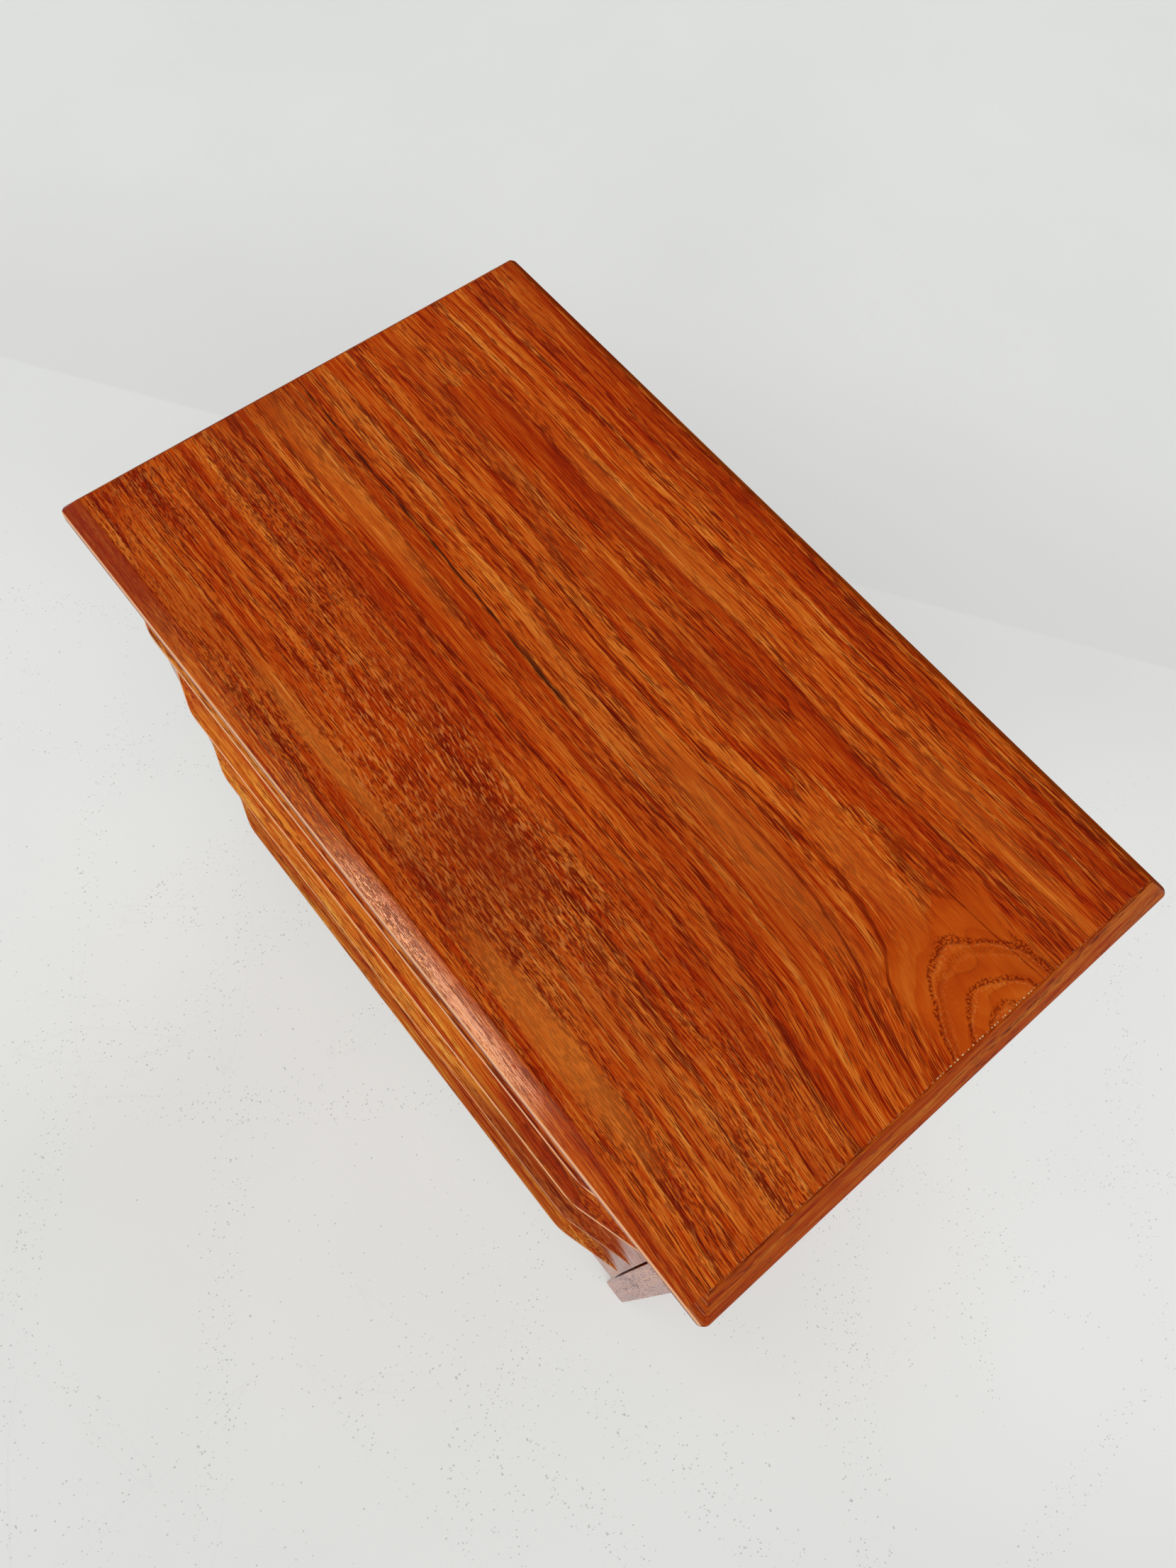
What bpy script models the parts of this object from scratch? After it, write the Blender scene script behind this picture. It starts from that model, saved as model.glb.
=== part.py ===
"""Sewing table: a teak case on two side panels, with a mitred, bevel-edged top and four drawers.

Metres, +Z up, the front facing -Y. The origin is on the floor, under the middle of the object's box.
Each drawer slides along -Y on a pair of hardwood runners, and its parts hang on one empty.
"""

import math

import bmesh
import bpy
from mathutils import Vector

# Top
TOP_LENGTH = 0.600
TOP_DEPTH = 0.3553
TOP_THICKNESS = 0.021
LIPPING_WIDTH = 0.012
LIPPING_FLAT = 0.001
LIPPING_FOOT = 0.008
HEIGHT = 0.520

# Case
SIDE_OVERHANG = 0.0135
FRONT_OVERHANG = 0.0146
REAR_OVERHANG = 0.014
SIDE_THICKNESS = 0.0215
FOOT_RADIUS = 0.0075
FOOT_SEGMENTS = 5
RAIL_THICKNESS = 0.014
RAIL_DEPTH = 0.060
BOTTOM_THICKNESS = 0.012
BACK_THICKNESS = 0.010
BACK_INSET = 0.004
CASE_SETBACK = 0.002
BOTTOM_CLEARANCE = 0.001

# Drawer fronts
DRAWERS = 4
DRAWER_PITCH = 0.106
SEAM = 0.0015
TOP_CLEARANCE = 0.002
END_CLEARANCE = 0.0016
FRONT_THICKNESS = 0.018
LIP_REACH = 0.0155
LIP_DROP = 0.017
LIP_NOSE = 0.003
LIP_ROOT = 0.012
LIP_TOP_FLAT = 0.001
LIP_HALF_STRAIGHT = 0.2095
LIP_HALF_LENGTH = 0.2613
LIP_BEND = 0.009
BEND_STEPS = 4
RAMP_STEPS = 4
RAMP_POWER = 1.6
GRIP_POWER = 2.2

# Drawer boxes
BOX_HALF_WIDTH = 0.263
BOX_RISE = 0.015
BOX_HEIGHT = 0.0735
BOX_LENGTH = 0.286
BOX_SIDE = 0.013
BOX_BACK = 0.012
BACK_DROP = 0.002
PLY = 0.005
PLY_GROOVE_DEPTH = 0.004
PLY_RISE = 0.007
RUNNER_HEIGHT = 0.012
RUNNER_REACH = 0.009
RUNNER_LENGTH = 0.284
GROOVE_DEPTH = 0.0075
GROOVE_PLAY = 0.0005
GROOVE_RISE = 0.034

# Sewing fittings of the top drawer
DIVIDER = 0.006
DIVIDER_HEIGHT = 0.045
DIVIDER_ROW_DEPTH = 0.110
DIVIDERS = 3

# Screws that hold the top
SCREW_HEAD_RADIUS = 0.004
SCREW_HEAD_HEIGHT = 0.0025
SCREW_CROWN = 0.6
SCREW_SHOULDER = 0.45
SCREW_RADIUS = 0.002
SCREW_LENGTH = 0.026
SCREW_TAPER = 0.004
SCREW_TIP = 0.2
SCREW_HOLE_RADIUS = 0.0024
SCREW_HALF_SPACING = 0.190
SCREW_SIDES = 16

GAP = 0.0003
OVERCUT = 0.010

# Levels and planes that follow from the sizes above
LIP_AHEAD = LIP_REACH - FRONT_OVERHANG
TOP_CENTRE_Y = LIP_AHEAD / 2
FACE_Y = TOP_CENTRE_Y - TOP_DEPTH / 2 + FRONT_OVERHANG
REAR_Y = TOP_CENTRE_Y + TOP_DEPTH / 2 - REAR_OVERHANG
UNDERSIDE_Z = HEIGHT - TOP_THICKNESS
CASE_TOP_Z = UNDERSIDE_Z - GAP
SIDE_OUTER_X = TOP_LENGTH / 2 - SIDE_OVERHANG
SIDE_INNER_X = SIDE_OUTER_X - SIDE_THICKNESS
FRONT_HEIGHT = DRAWER_PITCH - SEAM
FRONT_HALF_WIDTH = SIDE_INNER_X - END_CLEARANCE
FIRST_FRONT_TOP_Z = UNDERSIDE_Z - TOP_CLEARANCE
LAST_FRONT_BOTTOM_Z = FIRST_FRONT_TOP_Z - DRAWERS * DRAWER_PITCH + SEAM
CASE_FRONT_Y = FACE_Y + FRONT_THICKNESS + CASE_SETBACK
BACK_PANEL_Y = REAR_Y - BACK_INSET - BACK_THICKNESS
BOTTOM_Z = LAST_FRONT_BOTTOM_Z + BOTTOM_CLEARANCE
BOX_FRONT_Y = FACE_Y + FRONT_THICKNESS + GAP
PLY_Z = BOX_RISE + PLY_RISE


def clear_scene():
    for obj in list(bpy.data.objects):
        bpy.data.objects.remove(obj, do_unlink=True)


def material(name, colour, roughness, metallic=0.0):
    made = bpy.data.materials.new(name)
    made.use_nodes = True
    shader = made.node_tree.nodes["Principled BSDF"]
    shader.inputs["Base Color"].default_value = (*colour, 1.0)
    shader.inputs["Roughness"].default_value = roughness
    shader.inputs["Metallic"].default_value = metallic
    return made


def make_materials():
    return {
        "teak_top": material("teak_top", (0.42, 0.11, 0.02), 0.30),
        "teak_lipping": material("teak_lipping", (0.36, 0.08, 0.02), 0.30),
        "teak_case": material("teak_case", (0.34, 0.10, 0.03), 0.35),
        "teak_front": material("teak_front", (0.40, 0.11, 0.025), 0.32),
        "beech": material("beech", (0.62, 0.42, 0.24), 0.55),
        "ply": material("ply", (0.55, 0.38, 0.22), 0.60),
        "steel": material("steel", (0.60, 0.60, 0.58), 0.35, 1.0),
    }


def add_object(name, shape, surface, place=(0.0, 0.0, 0.0), parent=None):
    """Turns a bmesh into a named object, welded, triangulated and with its faces out."""
    bmesh.ops.remove_doubles(shape, verts=shape.verts, dist=1e-6)
    bmesh.ops.dissolve_degenerate(shape, edges=shape.edges, dist=1e-6)
    bmesh.ops.triangulate(shape, faces=shape.faces)
    bmesh.ops.recalc_face_normals(shape, faces=shape.faces)
    mesh = bpy.data.meshes.new(name)
    shape.to_mesh(mesh)
    shape.free()
    mesh.materials.append(surface)
    obj = bpy.data.objects.new(name, mesh)
    bpy.context.scene.collection.objects.link(obj)
    obj.location = place
    obj.parent = parent
    return obj


def add_empty(name, place):
    empty = bpy.data.objects.new(name, None)
    bpy.context.scene.collection.objects.link(empty)
    empty.location = place
    return empty


def box_shape(low, high):
    """A block between two opposite corners."""
    low, high = Vector(low), Vector(high)
    shape = bmesh.new()
    bmesh.ops.create_cube(shape, size=1.0)
    size = high - low
    bmesh.ops.scale(shape, vec=size, verts=shape.verts)
    bmesh.ops.translate(shape, vec=(low + high) / 2, verts=shape.verts)
    return shape


def loft_shape(sections):
    """A closed skin through outlines that all have the same number of points."""
    shape = bmesh.new()
    rings = [[shape.verts.new(point) for point in section] for section in sections]
    for first, second in zip(rings, rings[1:]):
        count = len(first)
        for i in range(count):
            j = (i + 1) % count
            shape.faces.new((first[i], first[j], second[j], second[i]))
    shape.faces.new(reversed(rings[0]))
    shape.faces.new(rings[-1])
    return shape


def prism_shape(outline, start, end):
    """An outline of (x, z) points, drawn out along Y."""
    return loft_shape([[(x, y, z) for x, z in outline] for y in (start, end)])


# Top


def lipping_outline():
    """(outward, up) points of the edge strip: a short flat, a long slope and an upright foot."""
    return (
        (0.0, 0.0),
        (LIPPING_WIDTH, 0.0),
        (LIPPING_WIDTH, LIPPING_FOOT),
        (LIPPING_FLAT, TOP_THICKNESS),
        (0.0, TOP_THICKNESS),
    )


def lipping_shape(length, depth):
    """A strip along +X with mitred ends, whose outer side faces -Y across the given depth of the top."""
    inner = length / 2 - LIPPING_WIDTH - GAP
    sections = []
    for side in (-1, 1):
        section = []
        for out, up in lipping_outline():
            reach = inner + out
            section.append((side * reach, -(depth / 2 - LIPPING_WIDTH + out), up))
        sections.append(section)
    return loft_shape(sections)


def build_top(surfaces):
    base = add_empty("top", (0.0, TOP_CENTRE_Y, UNDERSIDE_Z))
    half_x = TOP_LENGTH / 2 - LIPPING_WIDTH - GAP
    half_y = TOP_DEPTH / 2 - LIPPING_WIDTH - GAP
    board = box_shape((-half_x, -half_y, 0.0), (half_x, half_y, TOP_THICKNESS))
    add_object("top_panel", board, surfaces["teak_top"], parent=base)
    strips = (
        ("top_lipping_front", TOP_LENGTH, TOP_DEPTH, 0),
        ("top_lipping_right", TOP_DEPTH, TOP_LENGTH, 90),
        ("top_lipping_back", TOP_LENGTH, TOP_DEPTH, 180),
        ("top_lipping_left", TOP_DEPTH, TOP_LENGTH, 270),
    )
    for name, length, depth, turn in strips:
        strip = add_object(name, lipping_shape(length, depth), surfaces["teak_lipping"], parent=base)
        strip.rotation_euler.z = math.radians(turn)


# Case


def side_shape():
    """A side panel, centred on its own thickness, with its two lower edges rounded."""
    half = SIDE_THICKNESS / 2
    outline = [(half, CASE_TOP_Z), (-half, CASE_TOP_Z)]
    for centre_x, first in ((-half + FOOT_RADIUS, 180), (half - FOOT_RADIUS, 270)):
        for step in range(FOOT_SEGMENTS + 1):
            angle = math.radians(first + 90 * step / FOOT_SEGMENTS)
            x = centre_x + FOOT_RADIUS * math.cos(angle)
            outline.append((x, FOOT_RADIUS + FOOT_RADIUS * math.sin(angle)))
    return prism_shape(outline, FACE_Y, REAR_Y)


def rail_shape(front):
    """A rail under the top, from side to side, whose front edge is at the given y."""
    half = SIDE_INNER_X - GAP
    return box_shape((-half, front, CASE_TOP_Z - RAIL_THICKNESS), (half, front + RAIL_DEPTH, CASE_TOP_Z))


def cylinder_shape(radius, low, high, place=(0.0, 0.0)):
    shape = bmesh.new()
    bmesh.ops.create_cone(
        shape,
        cap_ends=True,
        segments=SCREW_SIDES,
        radius1=radius,
        radius2=radius,
        depth=high - low,
    )
    bmesh.ops.translate(shape, vec=(*place, (low + high) / 2), verts=shape.verts)
    return shape


def add_cutter(name, shape, target):
    """Cuts the shape out of the target. The cutter itself is a wire guide that never shows."""
    cutter = add_object(name, shape, target.data.materials[0], parent=target.parent)
    cutter.location = target.location
    cutter.hide_render = True
    cutter.display_type = "WIRE"
    cut = target.modifiers.new(name, "BOOLEAN")
    cut.operation = "DIFFERENCE"
    cut.solver = "EXACT"
    cut.object = cutter
    return cutter


def screw_shape():
    """A pan-head screw pointing up, turned about Z, with its head's underside at z = 0."""
    rim = SCREW_HEAD_RADIUS
    profile = (
        (rim * SCREW_CROWN, -SCREW_HEAD_HEIGHT),
        (rim, -SCREW_HEAD_HEIGHT * SCREW_SHOULDER),
        (rim, 0.0),
        (SCREW_RADIUS, 0.0),
        (SCREW_RADIUS, SCREW_LENGTH - SCREW_TAPER),
        (SCREW_RADIUS * SCREW_TIP, SCREW_LENGTH),
    )
    sections = []
    for radius, height in profile:
        ring = []
        for step in range(SCREW_SIDES):
            angle = math.tau * step / SCREW_SIDES
            ring.append((radius * math.cos(angle), radius * math.sin(angle), height))
        sections.append(ring)
    return loft_shape(sections)


def build_case(surfaces):
    for name, side in (("side_panel_left", -1), ("side_panel_right", 1)):
        centre = side * (SIDE_OUTER_X - SIDE_THICKNESS / 2)
        add_object(name, side_shape(), surfaces["teak_case"], (centre, 0.0, 0.0))

    half = SIDE_INNER_X - GAP
    floor_low = (-half, CASE_FRONT_Y, BOTTOM_Z)
    floor_high = (half, BACK_PANEL_Y - GAP, BOTTOM_Z + BOTTOM_THICKNESS)
    add_object("case_bottom", box_shape(floor_low, floor_high), surfaces["ply"])
    back_low = (-half, BACK_PANEL_Y, BOTTOM_Z)
    back_high = (half, BACK_PANEL_Y + BACK_THICKNESS, CASE_TOP_Z)
    add_object("back_panel", box_shape(back_low, back_high), surfaces["teak_case"])

    rear_rail_y = BACK_PANEL_Y - GAP - RAIL_DEPTH
    for rail_name, rail_y in (("top_rail_front", CASE_FRONT_Y), ("top_rail_rear", rear_rail_y)):
        rail = add_object(rail_name, rail_shape(rail_y), surfaces["beech"])
        build_top_screws(rail, rail_name, rail_y + RAIL_DEPTH / 2, surfaces)


def build_top_screws(rail, rail_name, centre_y, surfaces):
    """Two screws that pass up through a rail and into the top, in holes that clear them."""
    rail_bottom = CASE_TOP_Z - RAIL_THICKNESS
    for side_name, side in (("left", -1), ("right", 1)):
        place = (side * SCREW_HALF_SPACING, centre_y)
        hole = cylinder_shape(SCREW_HOLE_RADIUS, rail_bottom - OVERCUT, CASE_TOP_Z + OVERCUT, place)
        add_cutter(f"{rail_name}_hole_{side_name}", hole, rail)
        pilot = cylinder_shape(
            SCREW_HOLE_RADIUS, UNDERSIDE_Z - OVERCUT, rail_bottom + SCREW_LENGTH + GAP, place
        )
        top_panel = bpy.data.objects["top_panel"]
        cutter = add_cutter(f"pilot_{rail_name}_{side_name}", pilot, top_panel)
        cutter.parent = None
        screw = (place[0], place[1], rail_bottom - GAP)
        add_object(f"{rail_name}_screw_{side_name}", screw_shape(), surfaces["steel"], screw)


def build_runners(surfaces, number, box_bottom_z):
    """The two rails that one drawer slides on, let into the grooves of its sides."""
    low_z = box_bottom_z + GROOVE_RISE + GROOVE_PLAY
    for side_name, side in (("left", -1), ("right", 1)):
        inner = side * (SIDE_INNER_X - RUNNER_REACH)
        outer = side * (SIDE_INNER_X - GAP)
        start = CASE_FRONT_Y
        runner = box_shape(
            (min(inner, outer), start, low_z),
            (max(inner, outer), start + RUNNER_LENGTH, low_z + RUNNER_HEIGHT),
        )
        add_object(f"runner_{number}_{side_name}", runner, surfaces["beech"])


# Drawers


def lip_stations():
    """Half of the lip's plan, as (x, reach) from its middle to its end.

    It runs straight, turns through a short parabola and falls in a straight line to nothing.
    """
    slope = LIP_REACH / (LIP_HALF_LENGTH - LIP_HALF_STRAIGHT)
    stations = []
    for step in range(BEND_STEPS + 1):
        past = 2 * LIP_BEND * step / BEND_STEPS
        x = LIP_HALF_STRAIGHT - LIP_BEND + past
        stations.append((x, LIP_REACH - slope * past**2 / (4 * LIP_BEND)))
    stations.append((LIP_HALF_LENGTH, 0.0))
    stations.append((FRONT_HALF_WIDTH, 0.0))
    return stations


def front_section(x, reach):
    """The drawer front's outline at one place along its length, as points at that x.

    y is 0 on the flat face and z is 0 at the upper edge. The lip swells out from a single point of the
    face, by the share of its full reach that is given.
    """
    share = reach / LIP_REACH
    points = [(FRONT_THICKNESS, 0.0), (0.0, 0.0)]
    ramp = (LIP_DROP - LIP_TOP_FLAT) * share
    for step in range(RAMP_STEPS + 1):
        out = step / RAMP_STEPS
        points.append((-reach * out, -LIP_DROP + ramp * (1 - out) ** RAMP_POWER))
    for step in range(RAMP_STEPS + 1):
        out = 1 - step / RAMP_STEPS
        fall = LIP_NOSE + (LIP_ROOT - LIP_NOSE) * (1 - out) ** GRIP_POWER
        points.append((-reach * out, -LIP_DROP - fall * share))
    points += [(0.0, -FRONT_HEIGHT), (FRONT_THICKNESS, -FRONT_HEIGHT)]
    return [(x, y, z) for y, z in points]


def front_shape():
    right = lip_stations()
    left = [(-x, reach) for x, reach in reversed(right)]
    return loft_shape([front_section(x, reach) for x, reach in left + right])


def box_side_shape(side):
    """A drawer side: the runner's groove outside, and the bottom panel's groove inside."""
    outer = BOX_HALF_WIDTH
    inner = BOX_HALF_WIDTH - BOX_SIDE
    low = BOX_RISE
    high = BOX_RISE + BOX_HEIGHT
    groove_low = BOX_RISE + GROOVE_RISE
    groove_high = groove_low + RUNNER_HEIGHT + 2 * GROOVE_PLAY
    ply_low = PLY_Z - GAP
    ply_high = PLY_Z + PLY + GAP
    outline = (
        (outer, low),
        (outer, groove_low),
        (outer - GROOVE_DEPTH, groove_low),
        (outer - GROOVE_DEPTH, groove_high),
        (outer, groove_high),
        (outer, high),
        (inner, high),
        (inner, ply_high),
        (inner + PLY_GROOVE_DEPTH, ply_high),
        (inner + PLY_GROOVE_DEPTH, ply_low),
        (inner, ply_low),
        (inner, low),
    )
    turned = [(side * x, z) for x, z in outline]
    return prism_shape(turned, 0.0, BOX_LENGTH)


def build_drawer(surfaces, number):
    """One drawer, measured from its slide: the middle of the front's flat face, at the lower edge."""
    name = f"drawer_{number}"
    bottom_z = FIRST_FRONT_TOP_Z - (number - 1) * DRAWER_PITCH - FRONT_HEIGHT
    slide = add_empty(f"{name}_slide", (0.0, FACE_Y, bottom_z))
    box_y = BOX_FRONT_Y - FACE_Y
    inner = BOX_HALF_WIDTH - BOX_SIDE
    ply_reach = inner + PLY_GROOVE_DEPTH - GAP

    front = add_object(
        f"{name}_front", front_shape(), surfaces["teak_front"], (0.0, 0.0, FRONT_HEIGHT), slide
    )
    groove = box_shape(
        (-ply_reach - GAP, FRONT_THICKNESS - PLY_GROOVE_DEPTH, PLY_Z - GAP - FRONT_HEIGHT),
        (ply_reach + GAP, FRONT_THICKNESS + OVERCUT, PLY_Z + PLY + GAP - FRONT_HEIGHT),
    )
    add_cutter(f"{name}_groove", groove, front)

    for side_name, side in (("left", -1), ("right", 1)):
        add_object(
            f"{name}_side_{side_name}", box_side_shape(side), surfaces["beech"], (0.0, box_y, 0.0), slide
        )

    back_y = box_y + BOX_LENGTH - BOX_BACK
    back = box_shape(
        (-inner + GAP, back_y, PLY_Z + PLY + GAP),
        (inner - GAP, back_y + BOX_BACK, BOX_RISE + BOX_HEIGHT - BACK_DROP),
    )
    add_object(f"{name}_back", back, surfaces["beech"], parent=slide)

    ply = box_shape(
        (-ply_reach, FRONT_THICKNESS - PLY_GROOVE_DEPTH + GAP, PLY_Z),
        (ply_reach, box_y + BOX_LENGTH, PLY_Z + PLY),
    )
    add_object(f"{name}_bottom", ply, surfaces["ply"], parent=slide)
    build_runners(surfaces, number, bottom_z + BOX_RISE)
    return slide


def build_dividers(surfaces, slide):
    """The top drawer's sewing fittings: one long divider and three short ones in front of it."""
    inner = BOX_HALF_WIDTH - BOX_SIDE - GAP
    front_y = BOX_FRONT_Y - FACE_Y
    floor_z = PLY_Z + PLY + GAP
    long_y = front_y + DIVIDER_ROW_DEPTH
    long_divider = box_shape(
        (-inner, long_y, floor_z), (inner, long_y + DIVIDER, floor_z + DIVIDER_HEIGHT)
    )
    add_object("drawer_1_divider_long", long_divider, surfaces["beech"], parent=slide)
    bay = 2 * inner / (DIVIDERS + 1)
    for index in range(DIVIDERS):
        centre = -inner + bay * (index + 1)
        short = box_shape(
            (centre - DIVIDER / 2, front_y, floor_z),
            (centre + DIVIDER / 2, long_y - GAP, floor_z + DIVIDER_HEIGHT),
        )
        add_object(f"drawer_1_divider_short_{index + 1}", short, surfaces["beech"], parent=slide)


def main():
    clear_scene()
    surfaces = make_materials()
    build_top(surfaces)
    build_case(surfaces)
    slides = [build_drawer(surfaces, number) for number in range(1, DRAWERS + 1)]
    build_dividers(surfaces, slides[0])


main()
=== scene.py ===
"""The looks of the sewing table: lacquered teak, beech drawer boxes, a pale studio and the camera."""

import math

import bmesh
import bpy
from mathutils import Matrix, Vector, noise


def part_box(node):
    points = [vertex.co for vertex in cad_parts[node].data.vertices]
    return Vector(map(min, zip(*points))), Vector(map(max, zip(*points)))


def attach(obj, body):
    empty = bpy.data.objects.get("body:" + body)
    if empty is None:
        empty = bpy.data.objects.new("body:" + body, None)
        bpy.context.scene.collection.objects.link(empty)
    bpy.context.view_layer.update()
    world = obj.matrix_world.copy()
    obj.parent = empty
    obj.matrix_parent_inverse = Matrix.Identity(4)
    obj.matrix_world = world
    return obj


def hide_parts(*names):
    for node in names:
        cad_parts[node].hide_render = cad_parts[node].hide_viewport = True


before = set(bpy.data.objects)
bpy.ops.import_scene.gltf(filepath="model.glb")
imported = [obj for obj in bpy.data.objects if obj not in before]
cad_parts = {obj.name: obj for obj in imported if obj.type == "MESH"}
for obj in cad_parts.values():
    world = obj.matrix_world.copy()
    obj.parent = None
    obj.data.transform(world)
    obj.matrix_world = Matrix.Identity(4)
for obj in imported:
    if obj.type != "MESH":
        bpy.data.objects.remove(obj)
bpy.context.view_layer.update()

DRAWERS = 4

# Camera: where it stands, what it looks at, how far it is turned about its own axis, and its lens
CAMERA_PLACE = Vector((0.2393, -0.24535, 1.1408))
CAMERA_TARGET = Vector((0.0489, -0.04235, 0.5200))
CAMERA_ROLL_DEG = 7.935
CAMERA_LENS_MM = 27.9
SENSOR_MM = 36.0

# The top's board, which fills the joints to its edge strips
TOP_COLUMNS = 96
TOP_ROWS = 56
TOP_SWELL = 0.00006
TOP_OVERLAP = 0.0002

# Edge strips of the top
RIM_CORNER_RADIUS = 0.0045
RIM_CORNER_STEPS = 6
RIM_FLAT = 0.001
RIM_FOOT = 0.008
RIM_ROUND_BELOW = 0.0007
RIM_ROUND_MIDDLE = 0.0012
RIM_ROUND_ABOVE = 0.0008
RIM_ROUND_STEPS = 4
HAIRLINE = 0.00004

# Side panels
FOOT_RADIUS = 0.0075
FOOT_STEPS = 8
SIDE_LOOKS = dict(tone=(0.74, 0.84, 0.90), gloss=0.4, rough=0.16)

# Drawer fronts
FRONT_THICKNESS = 0.018
LIP_DROP = 0.017
LIP_NOSE = 0.003
LIP_ROOT = 0.012
LIP_TOP_FLAT = 0.001
LIP_HALF_STRAIGHT = 0.2095
LIP_HALF_LENGTH = 0.2613
LIP_BEND = 0.009
RAMP_POWER = 1.6
GRIP_POWER = 2.2
LIP_STEPS = 12
NOSE_STEPS = 4

# Floor, and the line where the wall behind meets it: y = slope times x + line
FLOOR_RADIUS = 9.0
FLOOR_GLOW = 0.365
# Soft patches where the floor glows more, as (centre, half size, extra glow): painted light beside
# the table
FLOOR_LIGHTER = (((0.46, 0.33), (0.52, 0.46), 0.088), ((-0.50, -0.36), (0.42, 0.42), 0.045))
FLOOR_TRAILS = ((8.0, 1.0), (52.0, 2.0), (97.0, 3.0), (141.0, 4.0))
WALL_SLOPE = 0.692
WALL_LINE = 0.600

# The lamp that the front edge strip reflects
GLARE_FROM = (-0.117, -1.00, 0.471)
GLARE_TO = (-0.117, -0.17, 0.471)

# Looks of the top
TOP_GLOSS = 0.04
TOP_ROUGHNESS = 0.25
ARCH_WAVER = 0.0030

# Softness of edges
ARRIS = 0.0009
BOX_ARRIS = 0.0006
RUNNER_ARRIS = 0.0008
DRAWER_ARRIS = 0.0007
PLY_ARRIS = 0.0003
DIVIDER_ARRIS = 0.0015
SMOOTH_DEG = 35.0


# Mesh helpers


def loft(rings):
    """A closed skin through rings of points that all have the same count, capped at both ends."""
    shape = bmesh.new()
    made = [[shape.verts.new(point) for point in ring] for ring in rings]
    for first, second in zip(made, made[1:]):
        for i in range(len(first)):
            j = (i + 1) % len(first)
            shape.faces.new((first[i], first[j], second[j], second[i]))
    shape.faces.new(reversed(made[0]))
    shape.faces.new(made[-1])
    return shape


def board(low, high):
    """A block between two corners."""
    corners = ((low.x, low.z), (high.x, low.z), (high.x, high.z), (low.x, high.z))
    return loft([[(x, y, z) for x, z in corners] for y in (low.y, high.y)])


def add_piece(name, shape, surface, body, nodes, arris=0.0):
    """Finishes a mesh: welded, its sharp edges softened, smooth shaded, riding on its body."""
    bmesh.ops.remove_doubles(shape, verts=shape.verts, dist=2e-6)
    bmesh.ops.dissolve_degenerate(shape, edges=shape.edges, dist=1e-6)
    bmesh.ops.recalc_face_normals(shape, faces=shape.faces)
    mesh = bpy.data.meshes.new(name)
    shape.to_mesh(mesh)
    shape.free()
    mesh.materials.append(surface)
    mesh.shade_smooth()
    mesh.set_sharp_from_angle(angle=math.radians(SMOOTH_DEG))
    piece = bpy.data.objects.new(name, mesh)
    bpy.context.scene.collection.objects.link(piece)
    if arris:
        soften(piece, arris)
    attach(piece, body)
    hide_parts(*nodes)
    return piece


def soften(piece, width):
    """Rounds the piece's sharp edges."""
    bevel = piece.modifiers.new("soft_edges", "BEVEL")
    bevel.width = width
    bevel.segments = 3
    bevel.limit_method = "ANGLE"
    bevel.angle_limit = math.radians(SMOOTH_DEG)
    bevel.harden_normals = True
    return bevel


# Material helpers


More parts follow.
